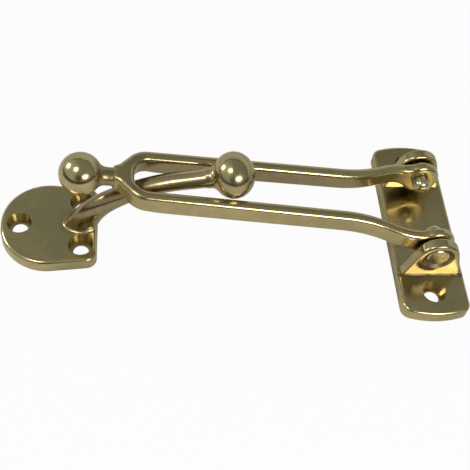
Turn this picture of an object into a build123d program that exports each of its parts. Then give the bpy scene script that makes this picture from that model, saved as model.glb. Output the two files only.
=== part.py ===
from build123d import *

import os
from math import asin, atan2, cos, radians, sin, sqrt, tan

# Ball-and-slot door restrictor in solid brass, modelled in millimetres.
# +Z is the outward normal of both plates, whose backs lie on Z = 0. The origin is
# the middle between the hinge plate's two screw holes. The forked arm points towards
# -X and is raised a little. The keeper stands at its far end, with its ball over
# the slot.

# Hinge plate
plate_length = 75.5
plate_width = 24.0
plate_thickness = 4.8
plate_end_rise = 2.2
plate_corner_radius = 3.6
plate_edge_round = 1.15
plate_hole_pitch = 57.2
screw_hole_dia = 5.4
countersink_dia = 8.4
countersink_depth = 3.8
cut_margin = 1.0

# Ears of the hinge plate
pivot_height = 14.7
ear_outer_y = 21.7
ear_thickness = 3.9
ear_top_radius = 7.3
ear_base_half_width = 10.6
ear_edge_round = 0.8
ear_foot_round = 0.35
ear_recess_dia = 11.2
ear_recess_depth = 1.1

# Pivot screws
pivot_dia = 4.4
pivot_clearance = 0.06
pivot_head_dia = 6.2
pivot_head_height = 4.0
pivot_head_flat_dia = 1.6
pivot_head_dome_height = 2.3
pivot_head_gap = 0.25
pivot_slot_width = 1.0
pivot_slot_depth = 1.3
pivot_end_dia = 7.8
pivot_end_thickness = 0.7
pivot_end_chamfer = 0.3

# Forked arm. Distances named _s run along the arm from the pivot, and heights are
# measured from the line through the pivot along the arm.
arm_angle = 7.8
arm_reach = 122.7
knob_radius = 7.15
knob_line_height = 0.77
neck_radius = 3.05
neck_flare = 0.85
neck_flare_angle = 43.8
neck_length = 10.2
fork_tail_length = 1.5
fork_tail_half_width = 3.2
shoulder_run = 6.6
shoulder_inner_round = 3.2
fork_outer_round = 8.0
closed_end_thickness = 5.6
slot_end_round = 5.4
slot_end_to_leg = 3.4
bend_s = 33.0
bend_mid_s = 18.1
bend_mid_y = 11.95
bend_mid_half_width = 1.95
bend_mid_slope = 16.4
eye_start_s = 7.3
leg_y_fork = 8.35
leg_y_bend = 9.3
leg_half_width_fork = 1.95
leg_half_width_bend = 2.15
leg_top_fork = 4.07
leg_top_bend = 4.47
leg_bottom_fork = 3.95
leg_bottom_bend = 3.05
leg_edge_round = 1.6
tail_bottom = 2.3
end_relief_run = 9.0
end_relief_round = 60.0
eye_radius = 6.8
eye_neck_round = 7.0
eye_outer_y = 16.6
eye_thickness = 4.0

# Places along the arm
fork_tail_s = arm_reach - neck_length
fork_shoulder_s = fork_tail_s - fork_tail_length
slot_end_s = fork_shoulder_s - closed_end_thickness
fork_s = slot_end_s - slot_end_to_leg

# Keeper. Its stalk and ball are placed from the arm, so that they run in the slot.
keeper_edge_to_knob = 4.7
keeper_length = 33.2
keeper_edge_half_width = 15.5
keeper_side_taper = 5.6
keeper_thickness = 4.8
keeper_corner_radius = 3.8
keeper_round_radius = 16.4
keeper_hole_inset = 5.5
keeper_hole_half_pitch = 9.2
keeper_nose_hole_inset = 6.4
stalk_foot_inset = 5.3
stalk_foot_half_length = 5.8
stalk_foot_half_width = 3.7
stalk_radius = 3.5
stalk_root_depth = 2.5
stalk_flare_share = 0.34
stalk_foot_round = 1.2
stalk_rise_angle = 67.3
stalk_knee_angle = 36.5
stalk_run_angle = 10.7
stalk_knee_past_slot = 6.3
stalk_knee_drop = 12.0
stalk_low_bend_radius = 30.0
stalk_high_bend_radius = 55.0
ball_to_slot_end = 32.4
ball_above_arm = 7.8
ball_radius = 7.9
ball_half_length = 7.2
ball_neck_length = 2.0
ball_neck_round = 2.4


def arm_point(s, w):
    """X and Z of the point at s along the arm and w above its line through the pivot."""
    a = radians(arm_angle)
    return (-s * cos(a) + w * sin(a), pivot_height + s * sin(a) + w * cos(a))


# Places in the part's own frame
keeper_edge_x = arm_point(arm_reach, knob_line_height)[0] + keeper_edge_to_knob
stalk_foot_x = keeper_edge_x - stalk_foot_inset
ball_x, ball_z = arm_point(slot_end_s - ball_to_slot_end, ball_above_arm)


def countersunk_cut(x, y, top_z):
    """A wood screw's hole with its deep countersink, opening at top_z."""
    hole_r = screw_hole_dia / 2
    sink_r = countersink_dia / 2
    profile = Polyline(
        (0, -cut_margin),
        (hole_r, -cut_margin),
        (hole_r, top_z - countersink_depth),
        (sink_r, top_z),
        (sink_r, top_z + cut_margin),
        (0, top_z + cut_margin),
        close=True,
    )
    tool = revolve(Plane.XZ * make_face(profile), Axis.Z)
    return Pos(x, y, 0) * tool


def hinge_plate_blank():
    half_l = plate_length / 2
    half_w = plate_width / 2
    side_y = half_l - plate_end_rise
    outline = Curve() + [
        Line((half_w, -side_y), (half_w, side_y)),
        ThreePointArc((half_w, side_y), (0, half_l), (-half_w, side_y)),
        Line((-half_w, side_y), (-half_w, -side_y)),
        ThreePointArc((-half_w, -side_y), (0, -half_l), (half_w, -side_y)),
    ]
    plate = extrude(make_face(outline), plate_thickness)
    plate = fillet(plate.edges().filter_by(Axis.Z), plate_corner_radius)
    return fillet(plate.faces().sort_by(Axis.Z)[-1].edges(), plate_edge_round)


def ear(side):
    """One rounded triangular lug. side is -1 for the near one, 1 for the far one."""
    base_z = plate_thickness - cut_margin
    reach = sqrt(ear_base_half_width ** 2 + (pivot_height - plate_thickness) ** 2)
    line_angle = atan2(plate_thickness - pivot_height, ear_base_half_width)
    touch = line_angle + radians(90) - asin(ear_top_radius / reach)
    tx = ear_top_radius * cos(touch)
    tz = pivot_height + ear_top_radius * sin(touch)
    run = (tx - ear_base_half_width) / (tz - plate_thickness)
    foot_x = ear_base_half_width - run * cut_margin
    top = (0, pivot_height + ear_top_radius)
    outline = Curve() + [
        Line((-foot_x, base_z), (foot_x, base_z)),
        Line((foot_x, base_z), (tx, tz)),
        ThreePointArc((tx, tz), top, (-tx, tz)),
        Line((-tx, tz), (-foot_x, base_z)),
    ]
    inner_y = ear_outer_y - ear_thickness
    face = Plane.XZ * make_face(outline)
    back_y = ear_outer_y if side > 0 else -inner_y
    lug = Pos(0, back_y, 0) * extrude(face, ear_thickness)
    rims = [
        e for e in lug.edges()
        if e.center().Z > plate_thickness and abs(abs(e.center().Y) - inner_y - ear_thickness / 2) > 1.0
    ]
    return fillet(rims, ear_edge_round)


def ear_cut(side):
    """The pivot's bore and the dished recess on the ear's outer face."""
    r = pivot_dia / 2
    end_r = pivot_end_dia / 2
    rim_r = ear_recess_dia / 2
    floor_y = ear_outer_y - ear_recess_depth
    profile = Polyline(
        (0, ear_outer_y - ear_thickness - cut_margin),
        (r, ear_outer_y - ear_thickness - cut_margin),
        (r, floor_y),
        (end_r, floor_y),
        (rim_r, ear_outer_y),
        (rim_r, ear_outer_y + cut_margin),
        (0, ear_outer_y + cut_margin),
        close=True,
    )
    tool = revolve(make_face(profile), Axis.Y)
    if side < 0:
        tool = mirror(tool, Plane.XZ)
    return Pos(0, 0, pivot_height) * tool


def make_frame_plate():
    body = hinge_plate_blank() + ear(-1) + ear(1)
    feet = [
        e for e in body.edges()
        if abs(e.center().Z - plate_thickness) < 0.02
        and abs(abs(e.center().Y) - ear_outer_y + ear_thickness / 2) < ear_thickness / 2 + 0.05
        and abs(e.center().X) < 0.5
    ]
    body = fillet(feet, ear_foot_round)
    body = body - ear_cut(-1) - ear_cut(1)
    for y in (-plate_hole_pitch / 2, plate_hole_pitch / 2):
        body = body - countersunk_cut(0, y, plate_thickness)
    return body


def make_pivot_screw(side):
    """Slotted domed pivot with its outer end burred over in the ear's recess."""
    r = pivot_dia / 2
    head_r = pivot_head_dia / 2
    flat_r = pivot_head_flat_dia / 2
    end_r = pivot_end_dia / 2
    seat_y = eye_outer_y - eye_thickness - pivot_head_gap
    face_y = seat_y - pivot_head_height
    dome_y = face_y + pivot_head_dome_height
    floor_y = ear_outer_y - ear_recess_depth
    end_y = floor_y + pivot_end_thickness
    dome_mid = (
        flat_r + (head_r - flat_r) * sin(radians(45)),
        dome_y - pivot_head_dome_height * cos(radians(45)),
    )
    outline = Curve() + [
        Line((0, face_y), (flat_r, face_y)),
        ThreePointArc((flat_r, face_y), dome_mid, (head_r, dome_y)),
        Line((head_r, dome_y), (head_r, seat_y)),
        Line((head_r, seat_y), (r, seat_y)),
        Line((r, seat_y), (r, floor_y)),
        Line((r, floor_y), (end_r, floor_y)),
        Line((end_r, floor_y), (end_r, end_y - pivot_end_chamfer)),
        Line((end_r, end_y - pivot_end_chamfer), (end_r - pivot_end_chamfer, end_y)),
        Line((end_r - pivot_end_chamfer, end_y), (0, end_y)),
        Line((0, end_y), (0, face_y)),
    ]
    screw = revolve(make_face(outline), Axis.Y)
    slot = Pos(0, face_y, 0) * Box(head_r * 3, pivot_slot_depth * 2, pivot_slot_width)
    screw = screw - slot
    if side < 0:
        screw = mirror(screw, Plane.XZ)
    return Pos(0, 0, pivot_height) * screw


def fork_plan():
    """Half of the fork's plan outline, in (distance towards -X, y), as a face in XY."""
    run = fork_s - bend_s
    k = (leg_y_bend - leg_y_fork) / run
    out_fork = (-fork_s, leg_y_fork + leg_half_width_fork)
    out_bend = (-bend_s, leg_y_bend + leg_half_width_bend)
    in_fork = (-fork_s, leg_y_fork - leg_half_width_fork)
    in_bend = (-bend_s, leg_y_bend - leg_half_width_bend)
    inner_y = eye_outer_y - eye_thickness
    tip_x = eye_radius + cut_margin
    slope = radians(bend_mid_slope)
    across = (bend_mid_half_width * sin(slope), bend_mid_half_width * cos(slope))
    out_mid = (-bend_mid_s - across[0], bend_mid_y + across[1])
    in_mid = (-bend_mid_s + across[0], bend_mid_y - across[1])
    shoulder = (-fork_shoulder_s, fork_tail_half_width)
    corner = (-fork_shoulder_s + shoulder_run, out_fork[1])

    outer = Spline(out_bend, out_mid, (-eye_start_s, eye_outer_y), tangents=[(1, k), (1, 0)])
    inner = Spline((-eye_start_s, inner_y), in_mid, in_bend, tangents=[(-1, 0), (-1, -k)])
    right_half = Curve() + [
        Line((-fork_tail_s, 0), (-fork_tail_s, fork_tail_half_width)),
        Line((-fork_tail_s, fork_tail_half_width), shoulder),
        Line(shoulder, corner),
        Line(corner, out_bend),
        outer,
        Line((-eye_start_s, eye_outer_y), (tip_x, eye_outer_y)),
        Line((tip_x, eye_outer_y), (tip_x, inner_y)),
        Line((tip_x, inner_y), (-eye_start_s, inner_y)),
        inner,
        Line(in_bend, in_fork),
        Line(in_fork, (-slot_end_s, in_fork[1])),
        Line((-slot_end_s, in_fork[1]), (-slot_end_s, 0)),
        Line((-slot_end_s, 0), (-fork_tail_s, 0)),
    ]
    return make_face(right_half)


def fork_side():
    """Side outline of the fork, in (x, z), as a face in XZ. Its underside rises at the closed end."""
    tail_top = knob_line_height + neck_radius + cut_margin / 4
    past_tail = -fork_tail_s - cut_margin
    relief_x = -slot_end_s + end_relief_run
    band = make_face(Polyline(
        (past_tail, -tail_bottom),
        (relief_x, -leg_bottom_fork),
        (-bend_s, -leg_bottom_bend),
        (0, -leg_bottom_bend),
        (0, leg_top_bend),
        (-bend_s, leg_top_bend),
        (-fork_s, leg_top_fork),
        (past_tail, tail_top),
        close=True,
    ))
    relief = [v for v in band.vertices() if abs(v.X - relief_x) < 0.1]
    outline = fillet(relief, end_relief_round) + Circle(eye_radius)
    joins = [v for v in outline.vertices() if -eye_radius - 1 < v.X < -0.5]
    return fillet(joins, eye_neck_round)


def make_fork():
    """Half of the plan outline, raised, rounded at the closed end, mirrored and cut to the side outline."""
    reach = eye_radius + 2 * cut_margin
    half = Pos(0, 0, -reach) * extrude(fork_plan(), 2 * reach)
    uprights = half.edges().filter_by(Axis.Z)

    def upright_at(x, y):
        return [e for e in uprights if abs(e.center().X - x) < 0.1 and abs(e.center().Y - y) < 0.1]

    rounds = [
        (-fork_shoulder_s, fork_tail_half_width, shoulder_inner_round),
        (-fork_shoulder_s + shoulder_run, leg_y_fork + leg_half_width_fork, fork_outer_round),
        (-slot_end_s, leg_y_fork - leg_half_width_fork, slot_end_round),
    ]
    for x, y, radius in rounds:
        half = fillet(upright_at(x, y), radius)
        uprights = half.edges().filter_by(Axis.Z)
    fork = half + mirror(half, Plane.XZ)
    depth = eye_outer_y + cut_margin
    side = Pos(0, depth, 0) * extrude(Plane.XZ * fork_side(), 2 * depth)
    fork = fork & side
    rims = [
        e for e in fork.edges()
        if not (abs(e.tangent_at(0.5).Z) > 0.99 and -fork_tail_s + 0.05 < e.center().X < 5)
    ]
    return fillet(rims, leg_edge_round)


def make_knob():
    """Knob and waisted neck, turned about a line that runs along the arm."""
    start = -fork_shoulder_s + fork_tail_length
    flare = radians(neck_flare_angle)
    meet_r = neck_radius + neck_flare
    meet_x = -arm_reach + sqrt(knob_radius ** 2 - meet_r ** 2)
    outline = Curve() + [
        Line((-arm_reach - knob_radius, 0), (start, 0)),
        Line((start, 0), (start, neck_radius)),
        Line((start, neck_radius), (-fork_tail_s - fork_tail_length, neck_radius)),
        Spline(
            (-fork_tail_s - fork_tail_length, neck_radius),
            (meet_x, meet_r),
            tangents=[(-1, 0), (-cos(flare), sin(flare))],
        ),
        ThreePointArc(
            (meet_x, meet_r),
            (-arm_reach, knob_radius),
            (-arm_reach - knob_radius, 0),
        ),
    ]
    turned = revolve(Plane.XZ * make_face(outline), Axis.X)
    return Pos(0, 0, knob_line_height) * turned


def make_arm():
    body = make_fork() + make_knob()
    bore = Cylinder(pivot_dia / 2 + pivot_clearance, 2 * ear_outer_y, rotation=(90, 0, 0))
    body = body - bore
    return Pos(0, 0, pivot_height) * Rot(0, arm_angle, 0) * body


def keeper_plate():
    """Horseshoe plate: a straight edge, gently spreading sides and a round nose."""
    left = keeper_edge_x - keeper_length
    nose_half = keeper_edge_half_width + keeper_length * tan(radians(keeper_side_taper))
    outline = make_face(Polyline(
        (keeper_edge_x, -keeper_edge_half_width),
        (keeper_edge_x, keeper_edge_half_width),
        (left, nose_half),
        (left, -nose_half),
        close=True,
    ))
    nose = [v for v in outline.vertices() if v.X < left + 1]
    outline = fillet(nose, keeper_round_radius)
    corners = [v for v in outline.vertices() if v.X > keeper_edge_x - 1]
    outline = fillet(corners, keeper_corner_radius)
    return extrude(outline, keeper_thickness)


def crossing(p, angle_p, q, angle_q):
    """Where the line through p at angle_p meets the line through q at angle_q, in degrees."""
    a = radians(angle_p)
    b = radians(angle_q)
    det = sin(b - a)
    reach = ((q[0] - p[0]) * sin(b) - (q[1] - p[1]) * cos(b)) / det
    return (p[0] + reach * cos(a), p[1] + reach * sin(a))


def make_stalk():
    """Round stalk on two bends, from a long oval foot up under the fork's closed end to the ball."""
    rise = radians(stalk_rise_angle)
    foot = (stalk_foot_x, keeper_thickness)
    root = (foot[0] - stalk_root_depth * cos(rise), foot[1] - stalk_root_depth * sin(rise))
    ball = (ball_x, ball_z)
    knee = arm_point(slot_end_s + stalk_knee_past_slot, -stalk_knee_drop)
    low = crossing(foot, stalk_rise_angle, knee, stalk_knee_angle)
    high = crossing(ball, stalk_run_angle, knee, stalk_knee_angle)
    bends = [stalk_low_bend_radius, stalk_high_bend_radius]
    path = (Plane.XZ * FilletPolyline(root, low, high, ball, radius=bends)).wires()[0]
    foot_section = Plane(origin=path @ 0, x_dir=(0, 1, 0), z_dir=path % 0)
    flared = stalk_flare_share
    mid_section = Plane(origin=path @ flared, x_dir=(0, 1, 0), z_dir=path % flared)
    tip_section = Plane(origin=path @ 1, x_dir=(0, 1, 0), z_dir=path % 1)
    sections = [
        foot_section * Ellipse(stalk_foot_half_width, stalk_foot_half_length),
        mid_section * Circle(stalk_radius),
        tip_section * Circle(stalk_radius),
    ]
    return sweep(sections, path=path, multisection=True)


def make_ball():
    """Slightly flattened ball with its short neck, turned about the stalk's run."""
    neck_length = ball_half_length + ball_neck_length
    neck = Pos(-neck_length / 2, 0) * Rectangle(neck_length, 2 * stalk_radius + 0.1)
    outline = Ellipse(ball_half_length, ball_radius) + neck
    joins = [
        v for v in outline.vertices()
        if -neck_length + 0.5 < v.X < -1 and abs(abs(v.Y) - stalk_radius) < 0.3
    ]
    outline = fillet(joins, ball_neck_round)
    below = Pos(0, -ball_radius) * Rectangle(4 * ball_radius, 2 * ball_radius)
    turned = revolve(outline - below, Axis.X)
    return Pos(ball_x, 0, ball_z) * Rot(0, -stalk_run_angle, 0) * turned


def make_keeper():
    """Plate, stalk and ball in one casting. The stalk's foot is blended into the plate's top and edge."""
    plate = keeper_plate()
    plate = fillet(plate.faces().sort_by(Axis.Z)[-1].edges(), plate_edge_round)
    body = plate + make_stalk()
    foot = [
        e for e in body.edges()
        if e.bounding_box().size.Z < 0.2
        and abs(e.center().Z - keeper_thickness) < 0.2
        and abs(e.center().Y) < stalk_foot_half_width
        and abs(e.center().X - stalk_foot_x) < 1.5 * stalk_foot_half_length
        and e.center().X < keeper_edge_x - 0.1
    ]
    body = fillet(foot, stalk_foot_round)
    body = body + make_ball()
    for x, y in keeper_holes():
        body = body - countersunk_cut(x, y, keeper_thickness)
    return body


def keeper_holes():
    """Nose hole, then the pair beside the straight edge."""
    pair_x = keeper_edge_x - keeper_hole_inset
    nose_x = keeper_edge_x - keeper_length + keeper_nose_hole_inset
    return [
        (nose_x, 0),
        (pair_x, -keeper_hole_half_pitch),
        (pair_x, keeper_hole_half_pitch),
    ]


def main():
    os.makedirs("parts", exist_ok=True)
    nodes = {
        "frame_plate": make_frame_plate(),
        "arm": make_arm(),
        "pivot_screw_near": make_pivot_screw(-1),
        "pivot_screw_far": make_pivot_screw(1),
        "keeper": make_keeper(),
    }
    for name, solid in nodes.items():
        export_step(solid, os.path.join("parts", name + ".step"))


if __name__ == "__main__":
    main()
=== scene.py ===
from collections import namedtuple
from math import radians

import bpy
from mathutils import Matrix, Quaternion, Vector

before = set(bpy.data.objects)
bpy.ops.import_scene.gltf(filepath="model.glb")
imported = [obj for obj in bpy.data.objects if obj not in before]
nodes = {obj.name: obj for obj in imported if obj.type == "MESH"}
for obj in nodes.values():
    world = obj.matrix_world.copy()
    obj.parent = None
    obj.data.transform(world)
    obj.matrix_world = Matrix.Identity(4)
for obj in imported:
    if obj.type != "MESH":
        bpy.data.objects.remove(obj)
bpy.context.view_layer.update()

MM = 0.001
MICRON = 0.001 * MM

# Places on the brasswork that its finishes follow, in metres
plate_top_z = 4.8 * MM
pivot_height = 14.7 * MM
ear_outer_y = 21.7 * MM
plate_hole_y = 28.6 * MM
hole_radius = 2.7 * MM
keeper_holes = [(-143.56 * MM, 0.0), (-122.26 * MM, -9.2 * MM), (-122.26 * MM, 9.2 * MM)]
stalk_foot_x = -122.06 * MM
stalk_brown_x = -104.0 * MM
stalk_bright_x = -82.0 * MM
slot_side_y = 6.8 * MM
slot_end_x = -101.0 * MM
neck_root = (-115.6 * MM, 0.0, 31.4 * MM)
knob_middle = (-121.5 * MM, 0.0, 31.9 * MM)
knob_reach = 8.0 * MM
ball_middle = (-71.3 * MM, 0.0, 32.3 * MM)
ball_reach = 9.0 * MM


class Signal:
    """A number in a node tree. Arithmetic on it adds the Math nodes for that sum."""

    def __init__(self, tree, socket):
        self.tree = tree
        self.socket = socket

    def maths(self, operation, *values):
        sockets = dict(enumerate(values))
        return self.tree.signal("ShaderNodeMath", {"operation": operation}, sockets)

    def __add__(self, other):
        return self.maths("ADD", self, other)

    def __radd__(self, other):
        return self.maths("ADD", other, self)

    def __sub__(self, other):
        return self.maths("SUBTRACT", self, other)

    def __rsub__(self, other):
        return self.maths("SUBTRACT", other, self)

    def __mul__(self, other):
        return self.maths("MULTIPLY", self, other)

    def __rmul__(self, other):
        return self.maths("MULTIPLY", other, self)

    def larger(self, other):
        return self.maths("MAXIMUM", self, other)

    def size(self):
        return self.maths("ABSOLUTE", self)

    def rise(self, low, high):
        """A smooth step from 0 at low to 1 at high. It falls where low is the larger of the two."""
        settings = {"interpolation_type": "SMOOTHSTEP"}
        sockets = {"Value": self, "From Min": low, "From Max": high}
        return self.tree.signal("ShaderNodeMapRange", settings, sockets)


class Tree:
    """The nodes of one material or world, emptied, and filled by add()."""

    def __init__(self, owner):
        owner.use_nodes = True
        self.nodes = owner.node_tree.nodes
        self.links = owner.node_tree.links
        self.nodes.clear()

    def add(self, kind, settings=None, sockets=None):
        node = self.nodes.new(kind)
        for name, value in (settings or {}).items():
            setattr(node, name, value)
        for key, value in (sockets or {}).items():
            target = node.inputs[key]
            if isinstance(value, Signal):
                self.links.new(value.socket, target)
            elif isinstance(value, bpy.types.NodeSocket):
                self.links.new(value, target)
            else:
                target.default_value = value
        return node

    def signal(self, kind, settings=None, sockets=None, output=0):
        return Signal(self, self.add(kind, settings, sockets).outputs[output])

    def place(self):
        return self.add("ShaderNodeTexCoord").outputs["Object"]

    def split(self, place):
        """The three numbers of a place or direction."""
        outputs = self.add("ShaderNodeSeparateXYZ", None, {0: place}).outputs
        return [Signal(self, outputs[axis]) for axis in "XYZ"]

    def vector(self, operation, first, second):
        sockets = {0: first, 1: second}
        return self.add("ShaderNodeVectorMath", {"operation": operation}, sockets).outputs[0]

    def noise(self, place, scale, detail=2.0, roughness=0.5, stretch=(1, 1, 1)):
        """Fractal noise. stretch multiplies the place, so a small number draws the grain out."""
        drawn = self.vector("MULTIPLY", place, stretch)
        sockets = {"Vector": drawn, "Scale": scale, "Detail": detail, "Roughness": roughness}
        return self.signal("ShaderNodeTexNoise", None, sockets)

    def distance(self, place, point, flatten=(1, 1, 1)):
        """Distance from a point, or from a line through it along an axis that flatten makes 0."""
        flat = self.vector("MULTIPLY", self.vector("SUBTRACT", place, point), flatten)
        return self.signal("ShaderNodeVectorMath", {"operation": "LENGTH"}, {0: flat}, "Value")

    def blend(self, share, first, second):
        settings = {"data_type": "RGBA", "clamp_factor": True}
        return self.add("ShaderNodeMix", settings, {0: share, 6: first, 7: second}).outputs[2]


def colour(red, green, blue):
    return (red, green, blue, 1.0)


# Finishes, worked out on Object coordinates in metres
POLISHED = colour(0.60, 0.495, 0.255)
OLIVE = colour(0.49, 0.41, 0.215)
CAST = colour(0.59, 0.485, 0.265)
CAST_OLIVE = colour(0.47, 0.40, 0.215)
TURNED = colour(0.64, 0.59, 0.41)
TURNED_DULL = colour(0.52, 0.475, 0.315)
BROWN = colour(0.34, 0.27, 0.155)
# Painted shade, darkening hollows and joins
SHADE_COLOUR = colour(0.15, 0.105, 0.05)

# Scales of the noise, in spots to the metre, and the height of the broad waves
cloud_scale = 55.0
wave_scale = 150.0
mottle_scale = 330.0
scratch_scale = 3000.0
wave_depth = 10.0 * MICRON

# A patch of painted shade about a point, or about a line through it along the axis that flatten makes 0
ShadePatch = namedtuple("ShadePatch", "point flatten inner outer strength")
ROUND_Z = (1, 1, 0)
ALONG_X = (0, 1, 1)


def brass(
    name,
    clean=POLISHED,
    dull=OLIVE,
    gloss=0.16,
    grain=(1, 1, 1),
    cut=0.5,
    draft=0.0,
    shade_patches=(),
    shade_and_browning=None,
    rubbed=None,
):
    """Aged polished brass.

    Broad clouds of olive tarnish, finer mottling from hand polishing, fine scratches drawn
    out along the grain, and painted shade in the hollows and joins. gloss is the clean metal's
    roughness, and cut the scratches' depth in micrometres. draft is the slope that the mould
    left on upright faces. Each patch of painted shade fades from its inner distance to its outer
    one. A function of the place gives the share of brown: painted shade on some parts, a browner
    tone on others. rubbed is the middle and radius of a ball that hands keep bright.
    """
    material = bpy.data.materials.new(name)
    tree = Tree(material)
    place = tree.place()
    clouds = tree.noise(place, cloud_scale, 3.0, 0.55).rise(0.38, 0.66)
    mottle = tree.noise(place, mottle_scale, 3.0, 0.6).rise(0.35, 0.7)
    scratches = tree.noise(place, scratch_scale, 2.0, 0.5, grain)
    waves = tree.noise(place, wave_scale, 2.0, 0.5)

    worn_and_shaded = tree.blend(clouds * 0.75 + mottle * 0.25, clean, dull)
    worn_and_shaded = tree.blend(mottle * (1 - clouds) * 0.22, worn_and_shaded, BROWN)
    # Brown share from the caller: painted shade on some parts, a browner tone on others
    if shade_and_browning:
        worn_and_shaded = tree.blend(shade_and_browning(tree, place) * (0.75 + mottle * 0.25), worn_and_shaded, BROWN)
    shade_share = 0.0
    # Painted shade in hollows and joins: darker and rougher towards each patch's middle
    for patch in shade_patches:
        ring = tree.distance(place, patch.point, patch.flatten).rise(patch.outer, patch.inner)
        shade_share = (ring * patch.strength * (0.6 + mottle * 0.4)).larger(shade_share)
    tint = tree.blend(shade_share, worn_and_shaded, SHADE_COLOUR)

    rough = gloss + clouds * 0.05 + mottle * 0.04 + (scratches - 0.5) * 0.10 + shade_share * 0.22
    depth = cut * MICRON
    if rubbed:
        middle, radius = rubbed
        bright = tree.distance(place, middle).rise(radius + 1.0 * MM, radius)
        rough = rough - bright * 0.015
        depth = (1 - bright * 0.9) * depth
    height = waves * wave_depth + scratches * depth
    if draft:
        height = height + tree.split(place)[2] * draft
    bump = tree.add("ShaderNodeBump", None, {"Strength": 1.0, "Distance": 1.0, "Height": height})

    sockets = {"Base Color": tint, "Metallic": 1.0, "Roughness": rough, "Normal": bump.outputs[0]}
    shader = tree.add("ShaderNodeBsdfPrincipled", None, sockets)
    tree.add("ShaderNodeOutputMaterial", None, {0: shader.outputs[0]})
    return material


def hole_shade(x, y):
    """Painted shade in a countersunk hole, round the hole's own line."""
    return ShadePatch((x, y, 0.0), ROUND_Z, hole_radius, hole_radius + 0.6 * MM, 0.15)


def crease_shade(y):
    """Painted shade along the foot of an ear's outer face."""
    return ShadePatch((0.0, y, plate_top_z + 0.1 * MM), ALONG_X, 0.35 * MM, 1.1 * MM, 0.95)


def recess_shade(y):
    """Painted shade round a pivot's burred end. Distance along the pivot counts double."""
    return ShadePatch((0.0, y, pivot_height), (1, 2, 1), 4.6 * MM, 5.9 * MM, 0.95)


def ear_shade(tree, place):
    """Painted shade on the ears' outer faces, most in the corner towards the arm."""
    along, across, up = tree.split(place)
    face = across.size().rise(ear_outer_y - 0.6 * MM, ear_outer_y - 0.2 * MM)
    above = up.rise(plate_top_z + 0.2 * MM, plate_top_z + 0.8 * MM)
    corner = along.rise(1.0 * MM, -7.0 * MM)
    return face * above * (0.45 + corner * 0.95)


def finish_frame_plate():
    # Painted shade in the holes, round the pivots' ends and along the ears' feet
    shade_patches = []
    for side in (1, -1):
        shade_patches.append(hole_shade(0.0, side * plate_hole_y))
        shade_patches.append(recess_shade(side * ear_outer_y))
        shade_patches.append(crease_shade(side * ear_outer_y))
    return brass(
        "cast_brass_plate",
        CAST,
        CAST_OLIVE,
        gloss=0.17,
        grain=(0.08, 1, 1),
        draft=-0.10,
        shade_patches=shade_patches,
        shade_and_browning=ear_shade,
    )


def slot_shade(tree, place):
    """Painted shade on the two faces that look into the slot, up to the fork's closed end."""
    along, across, _ = tree.split(place)
    inside = across.size().rise(slot_side_y + 0.9 * MM, slot_side_y)
    return inside * along.rise(slot_end_x - 6.0 * MM, slot_end_x)


def stalk_browning(tree, place):
    """A browner tone on the lower half of the stalk, from its foot up."""
    along, _, up = tree.split(place)
    above = up.rise(plate_top_z + 0.4 * MM, plate_top_z + 2.7 * MM)
    return above * along.rise(stalk_bright_x, stalk_brown_x)


def finish_arm():
    return brass(
        "forged_brass_arm",
        gloss=0.17,
        grain=(1, 0.06, 0.06),
        cut=8.0,
        # Painted shade round the neck's root, where it meets the fork
        shade_patches=[ShadePatch(neck_root, (1, 1, 1), 4.2 * MM, 7.2 * MM, 0.75)],
        shade_and_browning=slot_shade,
        rubbed=(knob_middle, knob_reach),
    )


def finish_keeper():
    foot = (stalk_foot_x - 2.0 * MM, 0.0, plate_top_z)
    # Painted shade in the holes and round the stalk's foot
    shade_patches = [hole_shade(x, y) for x, y in keeper_holes]
    shade_patches.append(ShadePatch(foot, (1, 1, 1.3), 4.0 * MM, 7.5 * MM, 0.5))
    return brass(
        "cast_brass_keeper",
        CAST,
        CAST_OLIVE,
        gloss=0.17,
        grain=(0.3, 1, 1),
        shade_patches=shade_patches,
        shade_and_browning=stalk_browning,
        rubbed=(ball_middle, ball_reach),
    )


def finish_pivots():
    return brass("turned_brass", TURNED, TURNED_DULL, gloss=0.20, grain=(1, 0.1, 1))


def dress(name, material):
    mesh = nodes[name].data
    mesh.materials.clear()
    mesh.materials.append(material)


dress("frame_plate", finish_frame_plate())
dress("arm", finish_arm())
dress("keeper", finish_keeper())
pivot_brass = finish_pivots()
dress("pivot_screw_near", pivot_brass)
dress("pivot_screw_far", pivot_brass)

# Studio: a white sheet under and behind the piece, in a dim room with three small lamps
subject = Vector((-0.07, 0.0, 0.02))
floor_half = 2.0
floor_drop = 0.2 * MM
floor_glow = 0.95
sheet_reach = 0.24
sheet_edge = 1.15 * sheet_reach
backdrop_slope = 0.9
backdrop_facing = (0.259, 0.966)
dark_corner = (-0.13, -0.89, 0.43)
lamp_distance = 0.50
lamp_white = (1.0, 0.97, 0.90)
WHITE = colour(1, 1, 1)
PAPER = colour(0.75, 0.75, 0.75)
TABLE = colour(0.10, 0.08, 0.06)
SHEET = colour(0.55, 0.55, 0.55)
DIM_WALL = colour(0.265, 0.285, 0.26)
BRIGHT_WALL = colour(0.46, 0.49, 0.44)
DARK_GAP = colour(0.05, 0.04, 0.03)


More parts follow.
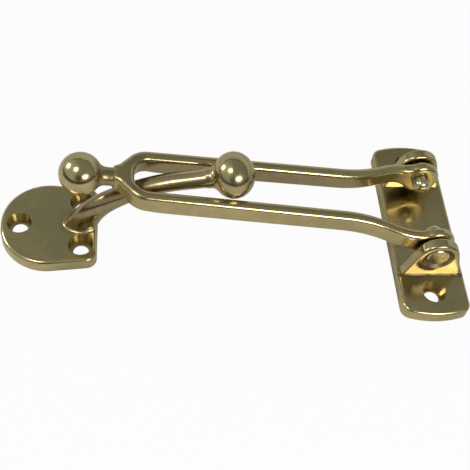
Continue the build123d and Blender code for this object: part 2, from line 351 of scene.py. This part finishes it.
def white_floor():
    """A plain pale floor.

    The camera sees it white, with enough of the paper left in it to keep the object's shadow.
    Mirrored in the brass, a dark table begins past the sheet's near edge.
    """
    mesh = bpy.data.meshes.new("floor")
    half = floor_half
    corners = [(-half, -half, 0), (half, -half, 0), (half, half, 0), (-half, half, 0)]
    mesh.from_pydata(corners, [], [(0, 1, 2, 3)])
    floor = bpy.data.objects.new("floor", mesh)
    bpy.context.scene.collection.objects.link(floor)

    material = bpy.data.materials.new("white_sheet")
    tree = Tree(material)
    path = tree.add("ShaderNodeLightPath")
    seen = Signal(tree, path.outputs["Is Camera Ray"])
    mirrored = Signal(tree, path.outputs["Is Glossy Ray"])
    place = tree.place()
    behind = tree.split(place)[1].rise(0.0, 0.06)
    past_edge = tree.distance(place, (subject.x, subject.y, 0.0)).rise(sheet_reach, sheet_edge)
    away = past_edge * (1 - behind)
    paper = tree.add("ShaderNodeBsdfDiffuse", None, {"Color": PAPER}).outputs[0]
    table = tree.add("ShaderNodeEmission", None, {"Color": TABLE}).outputs[0]
    glow = tree.add("ShaderNodeEmission", None, {"Color": WHITE}).outputs[0]
    ground = tree.add("ShaderNodeMixShader", None, {0: away * mirrored, 1: paper, 2: table}).outputs[0]
    shown = tree.add("ShaderNodeMixShader", None, {0: seen * floor_glow, 1: ground, 2: glow}).outputs[0]
    tree.add("ShaderNodeOutputMaterial", None, {0: shown})
    mesh.materials.append(material)
    floor.location.z = -floor_drop


def dim_room():
    """White past the floor. Mirrored in the brass, a pale sheet behind and a dim room above.

    The sheet's upper edge rises towards the back, and over is the height above that edge. A
    dark seam lies along it, and one corner of the room behind the camera is dark too.
    """
    world = bpy.data.worlds.new("room")
    bpy.context.scene.world = world
    tree = Tree(world)
    path = tree.add("ShaderNodeLightPath")
    seen = Signal(tree, path.outputs["Is Camera Ray"])
    way = tree.add("ShaderNodeTexCoord").outputs["Generated"]
    across, back, up = tree.split(way)
    facing = across * backdrop_facing[0] + back * backdrop_facing[1]
    over = up - (facing * backdrop_slope).larger(0.0)
    behind = over.rise(0.01, -0.02) * facing.rise(0.02, 0.10)
    seam = over.rise(0.15, 0.10)
    corner = tree.distance(way, dark_corner).rise(0.42, 0.18) * 0.8
    walls = tree.blend(across.rise(0.0, -0.7), DIM_WALL, BRIGHT_WALL)
    room = tree.blend(seam.larger(corner), walls, DARK_GAP)
    tent = tree.blend(behind, room, SHEET)
    tint = tree.blend(seen, tent, WHITE)
    light = tree.add("ShaderNodeBackground", None, {0: tint, 1: 1.0})
    tree.add("ShaderNodeOutputWorld", None, {0: light.outputs[0]})


def lamp(name, direction, width, height, power):
    """A small oval lamp that looks at the piece from a direction."""
    light = bpy.data.lights.new(name, "AREA")
    light.shape = "ELLIPSE"
    light.size = width
    light.size_y = height
    light.energy = power
    light.color = lamp_white
    holder = bpy.data.objects.new(name, light)
    bpy.context.scene.collection.objects.link(holder)
    way = Vector(direction).normalized()
    holder.location = subject + way * lamp_distance
    holder.rotation_mode = "QUATERNION"
    holder.rotation_quaternion = (-way).to_track_quat("-Z", "Y")


def photograph_camera():
    """The photograph's viewpoint, fitted to the outline and turned about its line of sight."""
    camera = bpy.data.cameras.new("camera")
    camera.sensor_width = 36.0
    camera.lens = 67.75
    holder = bpy.data.objects.new("camera", camera)
    bpy.context.scene.collection.objects.link(holder)
    eye = Vector((-0.10588, -0.18388, 0.25927))
    aim = Vector((-0.06992, -0.01208, 0.01500))
    roll = radians(9.9)
    holder.location = eye
    holder.rotation_mode = "QUATERNION"
    holder.rotation_quaternion = (aim - eye).to_track_quat("-Z", "Y") @ Quaternion((0, 0, 1), roll)
    bpy.context.scene.camera = holder


white_floor()
dim_room()
lamp("lamp_left", (-0.83, 0.24, 0.49), width=0.14, height=0.14, power=0.50)
lamp("lamp_top", (-0.415, -0.245, 0.876), width=0.14, height=0.17, power=0.44)
lamp("lamp_right", (0.38, -0.76, 0.52), width=0.25, height=0.13, power=1.00)
photograph_camera()
bpy.context.scene.view_settings.view_transform = "Standard"
